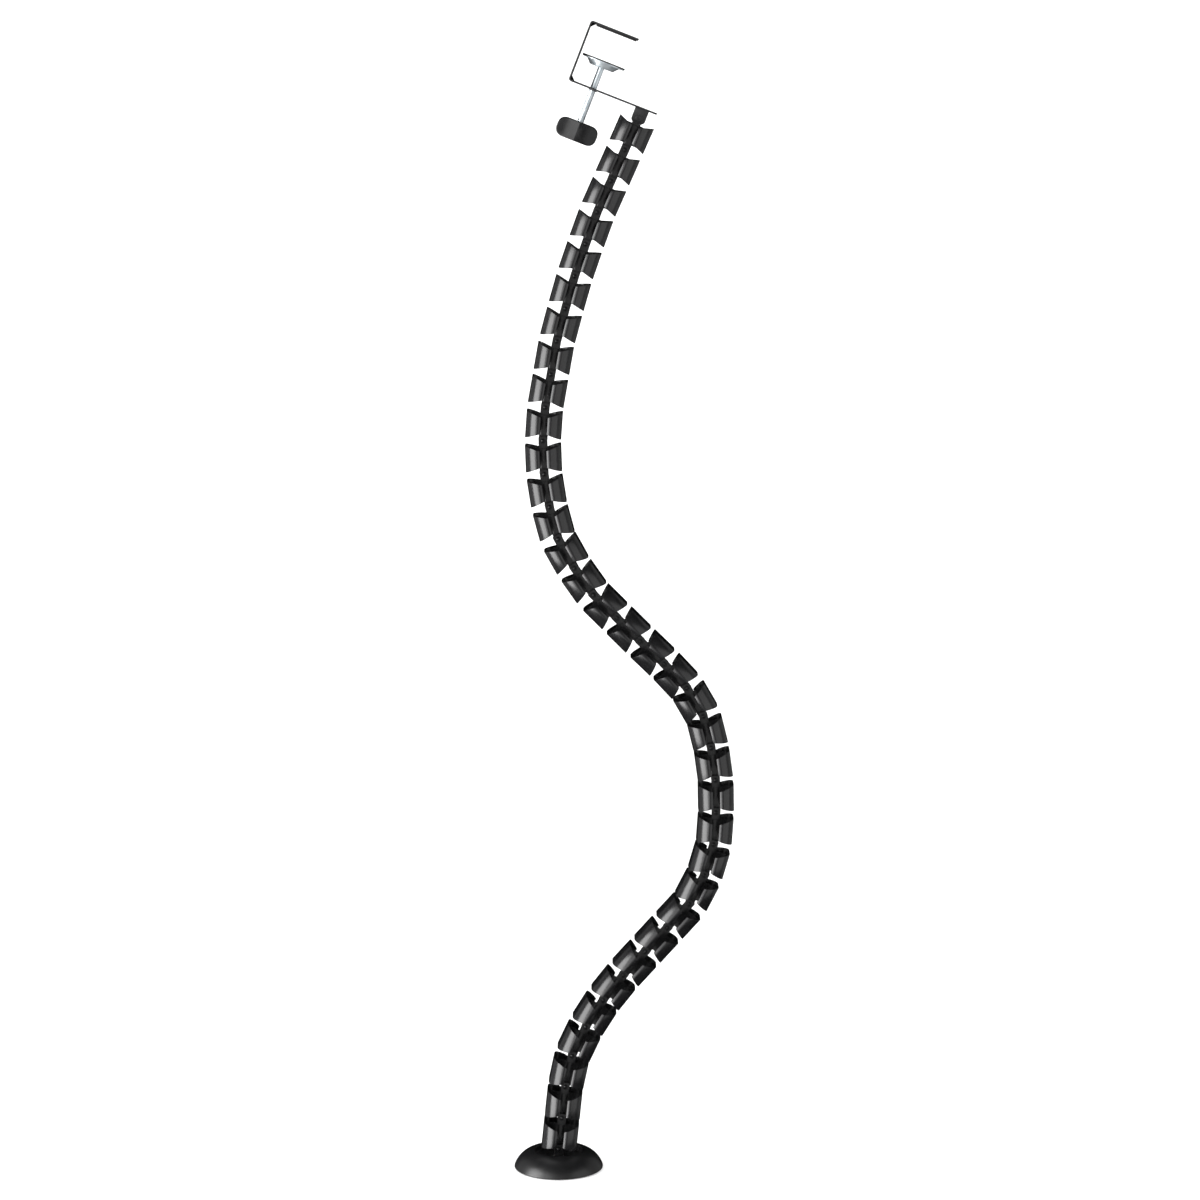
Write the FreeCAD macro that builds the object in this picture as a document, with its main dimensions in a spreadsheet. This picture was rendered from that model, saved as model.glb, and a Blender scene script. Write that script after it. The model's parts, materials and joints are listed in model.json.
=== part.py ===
import FreeCAD, Part
import math
import os
import re
import Sketcher

# A cable spine: a chain of moulded links on a weighted base, with a screw clamp at its top.
# Frame: X to the right, Y to the rear, Z up. Origin at the middle of the foot, on the floor.
# The links swing in the XZ plane, each about the stud and tab that it shares with the next one.

# Driving dimensions in millimetres and degrees, kept in the document's sheet.
SIZES = {
    # one link, in its own frame: origin at its lower pivot, Z towards its upper pivot
    "link_pitch": 36.0,
    "shell_half": 19.5,
    "shell_flat": 9.0,
    "shell_wall": 1.8,
    "shell_margin": 3.4,
    "notch_rise": 7.2,
    "slot_half": 3.4,
    "lip_width": 3.1,
    "lip_depth": 1.7,
    "plate_thick": 2.4,
    "plate_margin": 6.7,
    "column_half": 3.7,
    "column_front": 2.0,
    "column_rear": 2.4,
    "column_clear": 1.2,
    "tab_half": 4.85,
    "tab_corner": 2.0,
    "tab_thick": 3.2,
    "tab_gap": 0.3,
    "tab_shoulder": 8.0,
    "stud_radius": 1.7,
    "stud_head": 2.2,
    "stud_flare": 0.8,
    "running_fit": 0.05,
    "end_play": 0.15,
    # base
    "pivot_height": 21.0,
    "cover_radius": 49.0,
    "cover_wall": 2.4,
    "cover_edge": 2.0,
    "cover_lift": 1.0,
    "cover_round": 16.5,
    "cover_lip": 3.0,
    "well_radius": 26.0,
    "well_floor": 12.0,
    "foot_thick": 2.0,
    "seat_gap": 0.2,
    "weight_gap": 0.8,
    "weight_bore": 12.0,
    "anchor_half": 6.7,
    "anchor_foot": 3.0,
    "anchor_depth": 4.5,
    "screw_radius": 1.5,
    "screw_head": 2.7,
    "screw_head_thick": 1.8,
    "screw_length": 4.6,
    "screw_half_gap": 3.4,
    # clamp, in its own frame: origin at the pivot of its tab, Z along the clamping screw
    "strip_thick": 2.0,
    "bend_radius": 1.2,
    "strip_width": 40.0,
    "clamp_height": 67.5,
    "plate_length": 100.5,
    "jaw_length": 54.3,
    "corner_to_pivot": 84.2,
    "pivot_drop": 10.3,
    "ear_half": 7.7,
    "ear_below": 5.3,
    "ear_chamfer": 3.0,
    "gusset_leg": 4.5,
    "gusset_half": 3.0,
    "rivet_head": 4.0,
    "rivet_head_thick": 1.5,
    "rivet_tail": 2.8,
    "rivet_tail_thick": 1.0,
    "foam_thick": 1.4,
    "foam_margin": 1.8,
    "foam_gap": 0.5,
    "rod_radius": 3.5,
    "rod_to_corner": 28.0,
    "collar_radius": 5.6,
    "collar_height": 4.0,
    "dish_lift": 22.8,
    "dish_low_radius": 14.0,
    "dish_high_radius": 17.5,
    "dish_cone": 5.5,
    "flange_radius": 23.5,
    "flange_thick": 1.2,
    "rubber_radius": 24.0,
    "rubber_thick": 1.3,
    "socket_depth": 4.5,
    "knob_gap": 36.0,
    "knob_half": 22.5,
    "knob_height": 21.4,
    "knob_round": 8.0,
    "knob_middle": 8.0,
    "knob_end": 4.0,
    "knob_socket": 17.0,
    "clamp_lean": 21.3,
}
# How far each link leans to the right of upright, in degrees, from the base up: the S-bend it is set in.
LEANS = [
    6, 6, 12, 25, 32, 38, 42, 42, 42, 27, 16, 4,
    -1, -8, -14, -30, -43, -46, -45, -45, -35, -29, -15, -9,
    -2, 4, 10, 10, 15, 16, 19, 20, 24, 24, 24,
]
# Rounds that repeat on every link, and the cover's, are made of this many flats each.
SHELL_FLATS = 4
TAB_FLATS = 3
TONGUE_FLATS = 6
COVER_FLATS = 6
LINING_FLATS = 4
LIP_FLATS = 3

doc = FreeCAD.newDocument("cable_spine")
sheet = doc.addObject("Spreadsheet::Sheet", "Sizes")
for number, lean in enumerate(LEANS, 1):
    SIZES[f"lean_{number:02d}"] = float(lean)
for row, (alias, value) in enumerate(SIZES.items(), 1):
    sheet.set(f"B{row}", str(value))
    sheet.setAlias(f"B{row}", alias)
doc.recompute()


def sheet_name(word):
    name = word.group()
    return "Sizes." + name if name in SIZES else name


def tied(text):
    """A formula in the sheet's names, as an expression that any object can hold."""
    return re.sub(r"[a-z]\w*", sheet_name, text)


def worth(text):
    """The number that a formula gives now."""
    return float(sheet.evalExpression(text))


def plane_of(body, role):
    return [item for item in body.Origin.OriginFeatures if item.Role == role][0]


def new_sketch(body, name, role, level):
    """A sketch on one of the body's own planes, moved along the plane's normal to a level."""
    sketch = body.newObject("Sketcher::SketchObject", name)
    sketch.AttachmentSupport = [(plane_of(body, role), "")]
    sketch.MapMode = "FlatFace"
    sketch.setExpression("AttachmentOffset.Base.z", tied(level))
    return sketch


def hold_point(sketch, geometry, end, across, up):
    """Fix a point at two formulas, measured from the sketch's origin."""
    for kind, formula in (("DistanceX", across), ("DistanceY", up)):
        index = sketch.addConstraint(Sketcher.Constraint(kind, -1, 1, geometry, end, worth(formula)))
        sketch.setExpression(f"Constraints[{index}]", tied(formula))


def draw_outline(sketch, corners):
    """A closed outline. A corner is (across, up), or (across, up, radius, side) where an arc leaves it.

    The arc ends at the next corner, and side is 1 where its centre lies to the left of the way there."""
    places = [FreeCAD.Vector(worth(corner[0]), worth(corner[1]), 0) for corner in corners]
    first = sketch.GeometryCount
    for index, corner in enumerate(corners):
        here = places[index]
        there = places[(index + 1) % len(places)]
        if len(corner) == 2:
            sketch.addGeometry(Part.LineSegment(here, there))
            continue
        radius = worth(corner[2])
        chord = there - here
        along = math.sqrt(max(radius**2 - (chord.Length / 2) ** 2, 0.0))
        across = FreeCAD.Vector(-chord.y, chord.x, 0).normalize() * corner[3]
        middle = here + chord * 0.5
        crown = middle + across * (along - radius)
        sketch.addGeometry(Part.Arc(here, crown, there))
    for index, corner in enumerate(corners):
        geometry = first + index
        # an arc keeps its ends in counter-clockwise order, so one that turns clockwise starts at its far end
        start = 2 if len(corner) == 4 and corner[3] < 0 else 1
        before = corners[index - 1]
        last = first + (index - 1) % len(corners)
        finish = 1 if len(before) == 4 and before[3] < 0 else 2
        sketch.addConstraint(Sketcher.Constraint("Coincident", last, finish, geometry, start))
        hold_point(sketch, geometry, start, corner[0], corner[1])
        if len(corner) == 4:
            held = sketch.addConstraint(Sketcher.Constraint("Radius", geometry, worth(corner[2])))
            sketch.setExpression(f"Constraints[{held}]", tied(corner[2]))


def draw_circle(sketch, across, up, radius):
    centre = FreeCAD.Vector(worth(across), worth(up), 0)
    circle = Part.Circle(centre, FreeCAD.Vector(0, 0, 1), worth(radius))
    geometry = sketch.addGeometry(circle)
    hold_point(sketch, geometry, 3, across, up)
    held = sketch.addConstraint(Sketcher.Constraint("Radius", geometry, worth(radius)))
    sketch.setExpression(f"Constraints[{held}]", tied(radius))


def extrude(body, name, role, shapes, low, high, cut=False):
    """Add or cut a block between two levels of Z for XY_Plane, or of Y for XZ_Plane.

    XZ_Plane's normal points to the front, so a level of Y counts backwards on it. Additions follow the
    normal and cuts go against it."""
    facing_front = role == "XZ_Plane"
    level = high if facing_front != cut else low
    sketch = new_sketch(body, name + "_sketch", role, f"-({level})" if facing_front else level)
    for shape in shapes:
        if len(shape) == 3 and isinstance(shape[0], str):
            draw_circle(sketch, *shape)
        else:
            draw_outline(sketch, shape)
    feature = body.newObject("PartDesign::Pocket" if cut else "PartDesign::Pad", name)
    feature.Profile = sketch
    feature.setExpression("Length", tied(f"({high}) - ({low})"))
    return feature


def revolve(body, name, outline, role="XZ_Plane", cut=False):
    """Add or cut what an outline of (radius, height) sweeps about the plane's upright axis."""
    sketch = new_sketch(body, name + "_sketch", role, "0")
    draw_outline(sketch, outline)
    feature = body.newObject("PartDesign::Groove" if cut else "PartDesign::Revolution", name)
    feature.Profile = sketch
    feature.ReferenceAxis = (sketch, ["V_Axis"])
    feature.Angle = 360.0
    return feature


def new_body(label):
    body = doc.addObject("PartDesign::Body", label)
    body.Label = label
    return body


def box_outline(left, right, low, high):
    return [(left, low), (right, low), (right, high), (left, high)]


def flat_round(across, up, radius, start, end, flats):
    """The corners of a round in flats about (across, up), from one angle to another."""
    turns = [start + (end - start) * step / flats for step in range(flats + 1)]
    return [(f"{across} + {radius} * cos({turn})", f"{up} + {radius} * sin({turn})") for turn in turns]


def tab_outline(bottom, pivot):
    """A tab with a square top about its pivot, rounded at both corners."""
    across = "(tab_half - tab_corner)"
    up = f"({pivot} + {across})"
    foot = [("-tab_half", bottom), ("tab_half", bottom)]
    right = flat_round(across, up, "tab_corner", 0, 90, TAB_FLATS)
    left = flat_round(f"-{across}", up, "tab_corner", 90, 180, TAB_FLATS)
    return foot + right + left


def shell_quarter(side, rear, radius, lip_start):
    """The shell's rounded quarter from the lip to the flat side, in flats, at one radius.

    side is 1 to the right and -1 to the left, rear is 1 at the rear and -1 at the front."""
    corners = []
    for step in range(SHELL_FLATS + 1):
        share = step / SHELL_FLATS
        turn = f"(asin({lip_start} / {radius}) * {1 - share} + 90deg * {share})"
        corners.append((f"{side} * {radius} * sin{turn}", f"{rear} * (shell_flat + {radius} * cos{turn})"))
    return corners


def shell_side(side):
    """One side of the link's shell, seen from above: a C whose ends curl inwards into lips."""
    outer = "shell_half"
    inner = "(shell_half - shell_wall)"
    bend = "(slot_half + lip_width)"
    inner_bend = "(slot_half + lip_width + shell_wall / 2)"
    tip = f"{side} * slot_half"
    outer_tip = "(shell_flat + shell_half - lip_depth)"
    inner_tip = "(shell_flat + shell_half - shell_wall - lip_depth)"
    front_out = shell_quarter(side, -1, outer, bend)
    rear_out = shell_quarter(side, 1, outer, bend)[::-1]
    rear_in = shell_quarter(side, 1, inner, inner_bend)
    front_in = shell_quarter(side, -1, inner, inner_bend)[::-1]
    return (
        [(tip, f"-{outer_tip}")] + front_out + rear_out + [(tip, outer_tip), (tip, inner_tip)]
        + rear_in + front_in + [(tip, f"-{inner_tip}")]
    )


def make_link_form():
    """The one moulding that all links are made from."""
    body = new_body("link_form")
    low = "shell_margin"
    high = "(link_pitch - shell_margin)"
    reach = "(shell_half + 1)"
    extrude(body, "shell_right", "XY_Plane", [shell_side(1)], low, high)
    extrude(body, "shell_left", "XY_Plane", [shell_side(-1)], low, high)
    # both ends of the shell are cut to a shallow V, so that neighbours can swing until their edges meet
    slope = f"notch_rise * {reach} / shell_half"
    lower = [(f"-{reach}", low), (reach, low), ("0", f"{low} + notch_rise")]
    lower[0] = (f"-{reach}", f"{low} + notch_rise - {slope}")
    lower[1] = (reach, f"{low} + notch_rise - {slope}")
    upper = [(across, f"link_pitch - ({up})") for across, up in lower]
    depth = "(shell_flat + shell_half + 1)"
    extrude(body, "end_notches", "XZ_Plane", [lower, upper], f"-{depth}", depth, cut=True)
    # the plate that parts the two channels ends square, further from the pivots
    plate = box_outline("-(shell_half - shell_wall / 2)", "shell_half - shell_wall / 2",
                        "-plate_thick / 2", "plate_thick / 2")
    extrude(body, "mid_plate", "XY_Plane", [plate], "plate_margin", "link_pitch - plate_margin")
    column_low = "tab_half + column_clear"
    column = box_outline("-column_half", "column_half", column_low, f"link_pitch - ({column_low})")
    extrude(body, "column", "XZ_Plane", [column], "-column_front", "column_rear")
    tab = tab_outline("link_pitch - tab_shoulder", "link_pitch")
    extrude(body, "tab", "XZ_Plane", [tab], "-(tab_gap + tab_thick)", "-tab_gap")
    tongue = [("tab_half", "tab_shoulder"), ("-tab_half", "tab_shoulder")]
    tongue += flat_round("0", "0", "tab_half", 180, 360, TONGUE_FLATS)
    extrude(body, "tongue", "XZ_Plane", [tongue], "0", "tab_thick")
    hole = ("0", "link_pitch", "stud_radius + running_fit")
    extrude(body, "tab_hole", "XZ_Plane", [hole], "-(tab_gap + tab_thick) - 1", "0", cut=True)
    neck = "-(tab_gap + tab_thick + end_play)"
    stud = [
        ("0", "tab_thick / 2"),
        ("0", f"{neck} - stud_flare"),
        ("stud_head", f"{neck} - stud_flare"),
        ("stud_radius", neck),
        ("stud_radius", "tab_thick / 2"),
    ]
    revolve(body, "stud", stud, role="XY_Plane")
    return body


def make_links(form):
    """The chain: each link stands on the pivot of the one below and leans by its own angle."""
    chain = []
    below = None
    for number in range(1, len(LEANS) + 1):
        link = new_body(f"link_{number:02d}")
        link.BaseFeature = form
        if below is None:
            across = "0"
            height = tied("pivot_height")
        else:
            lean = f"lean_{number - 1:02d}"
            across = f"{below}.Placement.Base.x + " + tied(f"link_pitch * sin({lean}) * 1mm")
            height = f"{below}.Placement.Base.z + " + tied(f"link_pitch * cos({lean}) * 1mm")
        set_leaning(link, across, height, f"lean_{number:02d}")
        below = link.Name
        chain.append(link)
    return chain


def set_leaning(body, across, height, lean):
    """Place a body in the plane of the chain, leaning to the right."""
    body.Placement = FreeCAD.Placement(FreeCAD.Vector(), FreeCAD.Rotation(FreeCAD.Vector(0, 1, 0), 1))
    body.setExpression("Placement.Base.x", across)
    body.setExpression("Placement.Base.z", height)
    body.setExpression("Placement.Rotation.Angle", tied(f"{lean} * 1deg"))


def make_base():
    """The base: a domed cover over a steel ring on a soft foot, and the anchor for the lowest link."""
    cover = new_body("base_cover")
    inner_wall = "(well_radius + cover_wall)"
    edge_top = "(cover_lift + cover_edge)"
    crest = f"({edge_top} + cover_round)"
    inner_round = "(cover_round - cover_wall)"
    shoulder = "(cover_radius - cover_round)"
    skin = [("0", "well_floor"), ("well_radius", "well_floor")]
    lip = "(well_radius + cover_lip)"
    skin += flat_round(lip, f"({crest} - cover_lip)", "cover_lip", 180, 90, LIP_FLATS)
    skin += flat_round(shoulder, edge_top, "cover_round", 90, 0, COVER_FLATS)
    skin += [("cover_radius", "cover_lift"), ("cover_radius - cover_wall", "cover_lift")]
    skin += flat_round(shoulder, edge_top, inner_round, 0, 90, LINING_FLATS)
    skin += [
        (inner_wall, f"{crest} - cover_wall"),
        (inner_wall, "well_floor - cover_wall"),
        ("0", "well_floor - cover_wall"),
    ]
    revolve(cover, "dome", skin)
    middle = "-(tab_gap + tab_thick / 2)"
    holes = [(f"{side} * screw_half_gap", middle, "screw_radius + running_fit") for side in (-1, 1)]
    extrude(cover, "screw_holes", "XY_Plane", holes, "well_floor - cover_wall - 1", "well_floor + 1",
            cut=True)

    foot = new_body("base_foot")
    foot_radius = "(cover_radius - cover_wall - seat_gap)"
    extrude(foot, "disc", "XY_Plane", [("0", "0", foot_radius)], "0", "foot_thick")

    weight = new_body("base_weight")
    top = "(well_floor - cover_wall - seat_gap)"
    rise = f"({top} - {edge_top})"
    rim = f"{shoulder} + sqrt({inner_round} ^ 2 - {rise} ^ 2) - weight_gap"
    ring = [("0", "0", rim), ("0", "0", "weight_bore")]
    extrude(weight, "ring", "XY_Plane", ring, "foot_thick", top)

    anchor = new_body("base_anchor")
    front = f"({middle} - anchor_depth)"
    rear = f"({middle} + anchor_depth)"
    floor_plan = [
        ("-(anchor_half - anchor_depth)", front),
        ("anchor_half - anchor_depth", front, "anchor_depth", 1),
        ("anchor_half", middle, "anchor_depth", 1),
        ("anchor_half - anchor_depth", rear),
        ("-(anchor_half - anchor_depth)", rear, "anchor_depth", 1),
        ("-anchor_half", middle, "anchor_depth", 1),
    ]
    extrude(anchor, "foot", "XY_Plane", [floor_plan], "well_floor", "well_floor + anchor_foot")
    upright = tab_outline("well_floor + anchor_foot / 2", "pivot_height")
    extrude(anchor, "tab", "XZ_Plane", [upright], "-(tab_gap + tab_thick)", "-tab_gap")
    hole = ("0", "pivot_height", "stud_radius + running_fit")
    extrude(anchor, "tab_hole", "XZ_Plane", [hole], "-(tab_gap + tab_thick) - 1", "0", cut=True)
    depth = "(screw_length - cover_wall + seat_gap)"
    blind = [(f"{side} * screw_half_gap", middle, "screw_radius + running_fit") for side in (-1, 1)]
    extrude(anchor, "screw_holes", "XY_Plane", blind, "well_floor - 1", f"well_floor + {depth}",
            cut=True)

    under = "(well_floor - cover_wall)"
    pins = []
    for name, side in (("left", "-"), ("right", "")):
        across = f"{side}screw_half_gap"
        shank = cylinder(f"shank_{name}", across, middle, under, f"{under} + screw_length", "screw_radius")
        head = cylinder(f"head_{name}", across, middle, f"{under} - screw_head_thick", under, "screw_head")
        pins += [shank, head]
    screws = doc.addObject("Part::MultiFuse", "anchor_screws")
    screws.Shapes = pins
    return [cover, foot, weight, anchor, screws]


def cylinder(name, across, depth, low, high, radius):
    """An upright round bar at (across, depth) between two heights."""
    bar = doc.addObject("Part::Cylinder", name)
    bar.setExpression("Radius", tied(radius))
    bar.setExpression("Height", tied(f"({high}) - ({low})"))
    bar.setExpression("Placement.Base.x", tied(across))
    bar.setExpression("Placement.Base.y", tied(depth))
    bar.setExpression("Placement.Base.z", tied(low))
    return bar


def set_on_clamp(body):
    """Place a piece of the clamp: its frame's origin is the uppermost pivot."""
    last = f"link_{len(LEANS):02d}"
    lean = f"lean_{len(LEANS):02d}"
    across = f"{last}.Placement.Base.x + " + tied(f"link_pitch * sin({lean}) * 1mm")
    height = f"{last}.Placement.Base.z + " + tied(f"link_pitch * cos({lean}) * 1mm")
    set_leaning(body, across, height, "clamp_lean")


def make_bracket():
    """One steel strip bent to a C, with an ear bent down from its front edge for the pivot."""
    bracket = new_body("clamp_bracket")
    corner = "-corner_to_pivot"
    inside = "(strip_thick - corner_to_pivot)"
    floor = "(pivot_drop + strip_thick)"
    crest = "(pivot_drop + clamp_height)"
    roof = "(pivot_drop + clamp_height - strip_thick)"
    outer = "(bend_radius + strip_thick)"
    section = [
        (f"{corner} + {outer}", "pivot_drop"),
        (f"{corner} + plate_length", "pivot_drop"),
        (f"{corner} + plate_length", floor),
        (f"{inside} + bend_radius", floor, "bend_radius", -1),
        (inside, f"{floor} + bend_radius"),
        (inside, f"{roof} - bend_radius", "bend_radius", -1),
        (f"{inside} + bend_radius", roof),
        (f"{corner} + jaw_length", roof),
        (f"{corner} + jaw_length", crest),
        (f"{corner} + {outer}", crest, outer, 1),
        (corner, f"{crest} - {outer}"),
        (corner, f"pivot_drop + {outer}", outer, 1),
    ]
    front = "-(2 * tab_gap + tab_thick + strip_thick)"
    extrude(bracket, "strip", "XZ_Plane", [section], front, f"{front} + strip_width")
    ear = [
        ("-ear_half", floor),
        ("-ear_half", "ear_chamfer - ear_below"),
        ("ear_chamfer - ear_half", "-ear_below"),
        ("ear_half - ear_chamfer", "-ear_below"),
        ("ear_half", "ear_chamfer - ear_below"),
        ("ear_half", floor),
    ]
    extrude(bracket, "ear", "XZ_Plane", [ear], front, f"{front} + strip_thick")
    middle = f"({front} + strip_width / 2)"
    low_gusset = [
        (inside, floor),
        (f"{inside} + gusset_leg", floor),
        (inside, f"{floor} + gusset_leg"),
    ]
    high_gusset = [
        (inside, roof),
        (inside, f"{roof} - gusset_leg"),
        (f"{inside} + gusset_leg", roof),
    ]
    extrude(bracket, "gussets", "XZ_Plane", [low_gusset, high_gusset], f"{middle} - gusset_half",
            f"{middle} + gusset_half")
    axis = "(rod_to_corner - corner_to_pivot)"
    extrude(bracket, "collar", "XY_Plane", [(axis, middle, "collar_radius")], "pivot_drop - collar_height",
            floor)
    extrude(bracket, "thread", "XY_Plane", [(axis, middle, "rod_radius + running_fit")],
            "pivot_drop - collar_height - 1", f"{floor} + 1", cut=True)
    extrude(bracket, "rivet_hole", "XZ_Plane", [("0", "0", "stud_radius + running_fit")], f"{front} - 1",
            f"{front} + strip_thick + 1", cut=True)

    foam = new_body("jaw_pad")
    pad_plan = box_outline(f"{inside} + gusset_leg + foam_gap", f"{corner} + jaw_length - foam_margin",
                           f"{front} + foam_margin", f"{front} + strip_width - foam_margin")
    extrude(foam, "sheet", "XY_Plane", [pad_plan], f"{roof} - foam_thick", roof)

    # the rivet's head lies on the ear, and its tail holds the uppermost link's tab from behind
    rivet = new_body("pivot_rivet")
    profile = [
        ("0", f"{front} - rivet_head_thick"),
        ("rivet_head / 2", f"{front} - rivet_head_thick"),
        ("rivet_head", f"{front} - rivet_head_thick / 3"),
        ("rivet_head", front),
        ("stud_radius", front),
        ("stud_radius", "end_play - tab_gap"),
        ("rivet_tail", "end_play - tab_gap"),
        ("rivet_tail", "end_play - tab_gap + rivet_tail_thick"),
        ("0", "end_play - tab_gap + rivet_tail_thick"),
    ]
    revolve(rivet, "turned", profile, role="XY_Plane")

    dish_low = f"({floor} + dish_lift)"
    dish = new_body("pressure_dish")
    flange_low = f"({dish_low} + dish_cone)"
    flange_high = f"({flange_low} + flange_thick)"
    cone = [
        ("0", f"{dish_low} + socket_depth"),
        ("rod_radius + running_fit", f"{dish_low} + socket_depth"),
        ("rod_radius + running_fit", dish_low),
        ("dish_low_radius", dish_low),
        ("dish_high_radius", flange_low),
        ("flange_radius", flange_low),
        ("flange_radius", flange_high),
        ("0", flange_high),
    ]
    turn_about_rod(dish, "turned", cone, axis, middle)
    rubber = new_body("dish_pad")
    extrude(rubber, "disc", "XY_Plane", [(axis, middle, "rubber_radius")], flange_high,
            f"{flange_high} + rubber_thick")

    rod = new_body("clamp_rod")
    knob_top = "(pivot_drop - knob_gap)"
    extrude(rod, "rod", "XY_Plane", [(axis, middle, "rod_radius")],
            f"{knob_top} - knob_socket + seat_gap", f"{dish_low} + socket_depth - seat_gap")

    knob = new_body("wing_knob")
    left = f"({axis} - knob_half)"
    right = f"({axis} + knob_half)"
    plan = [
        (left, f"{middle} - knob_end"),
        (axis, f"{middle} - knob_middle"),
        (right, f"{middle} - knob_end"),
        (right, f"{middle} + knob_end"),
        (axis, f"{middle} + knob_middle"),
        (left, f"{middle} + knob_end"),
    ]
    knob_bottom = f"({knob_top} - knob_height)"
    extrude(knob, "wing", "XY_Plane", [plan], knob_bottom, knob_top)
    corners = []
    for across, side in ((left, 1), (right, -1)):
        for up, rise in ((knob_bottom, 1), (knob_top, -1)):
            along = f"({across} + {side} * knob_round)"
            over = f"({up} + {rise} * knob_round)"
            corners.append([(across, up), (along, up, "knob_round", -side * rise), (across, over)])
    reach = f"{middle} - knob_middle - 1"
    extrude(knob, "round_corners", "XZ_Plane", corners, reach, f"{middle} + knob_middle + 1", cut=True)
    extrude(knob, "rod_socket", "XY_Plane", [(axis, middle, "rod_radius + running_fit")],
            f"{knob_top} - knob_socket", f"{knob_top} + 1", cut=True)
    pieces = [bracket, foam, rivet, dish, rubber, rod, knob]
    for piece in pieces:
        set_on_clamp(piece)
    return pieces


def turn_about_rod(body, name, outline, axis, middle):
    """Turn an outline of (radius, height) about the clamp's rod."""
    sketch = new_sketch(body, name + "_sketch", "XZ_Plane", f"-{middle}")
    sketch.setExpression("AttachmentOffset.Base.x", tied(axis))
    draw_outline(sketch, outline)
    feature = body.newObject("PartDesign::Revolution", name)
    feature.Profile = sketch
    feature.ReferenceAxis = (sketch, ["V_Axis"])
    feature.Angle = 360.0


def check_and_write(pieces):
    """Every object has to be sound before any piece is written."""
    doc.recompute()
    for item in doc.Objects:
        if "Invalid" in item.State or "Error" in item.State:
            raise RuntimeError(f"{item.Name} did not build: {item.State}")
    for piece in pieces:
        if piece.Shape.isNull() or not piece.Shape.isValid() or not piece.Shape.Solids:
            raise RuntimeError(f"{piece.Label} has no sound solid")
    os.makedirs("parts", exist_ok=True)
    for piece in pieces:
        piece.Shape.exportStep(f"parts/{piece.Label}.step")


form = make_link_form()
doc.recompute()
chain = make_links(form)
check_and_write(chain + make_base() + make_bracket())
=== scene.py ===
import json
import math
import bmesh
import bpy
import numpy as np
from mathutils import Matrix, Vector

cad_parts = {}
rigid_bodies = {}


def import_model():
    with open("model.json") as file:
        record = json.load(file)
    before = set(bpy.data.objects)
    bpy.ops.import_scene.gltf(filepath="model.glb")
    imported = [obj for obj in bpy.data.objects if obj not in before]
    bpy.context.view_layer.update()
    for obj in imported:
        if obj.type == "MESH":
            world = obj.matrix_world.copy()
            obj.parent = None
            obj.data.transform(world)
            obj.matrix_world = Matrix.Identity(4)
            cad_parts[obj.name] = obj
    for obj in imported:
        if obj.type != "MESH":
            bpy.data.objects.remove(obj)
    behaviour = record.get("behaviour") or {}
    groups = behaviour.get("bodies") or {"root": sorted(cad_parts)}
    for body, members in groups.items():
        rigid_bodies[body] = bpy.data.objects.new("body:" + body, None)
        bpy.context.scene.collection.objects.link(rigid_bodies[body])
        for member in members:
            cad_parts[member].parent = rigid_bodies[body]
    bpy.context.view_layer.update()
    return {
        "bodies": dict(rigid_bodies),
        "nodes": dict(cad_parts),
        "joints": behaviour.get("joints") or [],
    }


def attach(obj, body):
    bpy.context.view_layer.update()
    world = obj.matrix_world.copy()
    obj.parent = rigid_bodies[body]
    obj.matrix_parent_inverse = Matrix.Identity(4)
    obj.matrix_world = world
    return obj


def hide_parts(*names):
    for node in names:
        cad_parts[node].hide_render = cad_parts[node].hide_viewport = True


# A desk cable spine: 35 moulded links on a weighted base, with a screw clamp at the top.
# Lengths of the pieces are millimetres, as on the part's drawing, and inMetres() turns them to metres.
# Lengths of the studio are metres.
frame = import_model()
joints = {joint["name"]: joint for joint in frame["joints"]}
linkCount = sum(name.startswith("spine_") for name in frame["bodies"])
print("frame loaded, links:", linkCount)

# Shapes: every surface is a grid of points worked out as whole arrays.

weldWithin = 2e-6   # in metres: points nearer than this become one, and edges under half of it go
rimSteps = 3        # facets across a rounded rim
flatRow = 0.08      # how far in from a rounded rim the flat's own row of points lies


def gridQuads(rows, columns, wrapColumns):
    # the four corner numbers of each cell of a grid whose points are numbered row by row
    row = np.arange(rows - 1)[:, None]
    column = np.arange(columns if wrapColumns else columns - 1)[None, :]
    nextColumn = (column + 1) % columns
    corners = [row * columns + column, row * columns + nextColumn,
               (row + 1) * columns + nextColumn, (row + 1) * columns + column]
    return np.stack(corners, -1).reshape(-1, 4)


def surface(grid, wrapColumns=False, caps=False):
    # a grid of points with its cells; caps closes the first and the last row by one face each
    rows, columns = grid.shape[:2]
    ends = []
    if caps:
        ends = [np.arange(columns)[::-1], np.arange(columns) + (rows - 1) * columns]
    return {"points": grid.reshape(-1, 3), "quads": gridQuads(rows, columns, wrapColumns), "caps": ends}


def makeMesh(name, surfaces, sharpAngle=38):
    points = np.concatenate([part["points"] for part in surfaces])
    faces = []
    start = 0
    for part in surfaces:
        faces += (part["quads"] + start).tolist() + [(cap + start).tolist() for cap in part["caps"]]
        start += len(part["points"])
    mesh = bpy.data.meshes.new(name)
    mesh.from_pydata(points, [], faces)
    work = bmesh.new()
    work.from_mesh(mesh)
    bmesh.ops.remove_doubles(work, verts=work.verts, dist=weldWithin)
    bmesh.ops.dissolve_degenerate(work, edges=work.edges, dist=weldWithin / 2)
    bmesh.ops.recalc_face_normals(work, faces=work.faces)
    work.to_mesh(mesh)
    work.free()
    mesh.shade_smooth()
    mesh.set_sharp_from_angle(angle=math.radians(sharpAngle))
    return mesh


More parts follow.
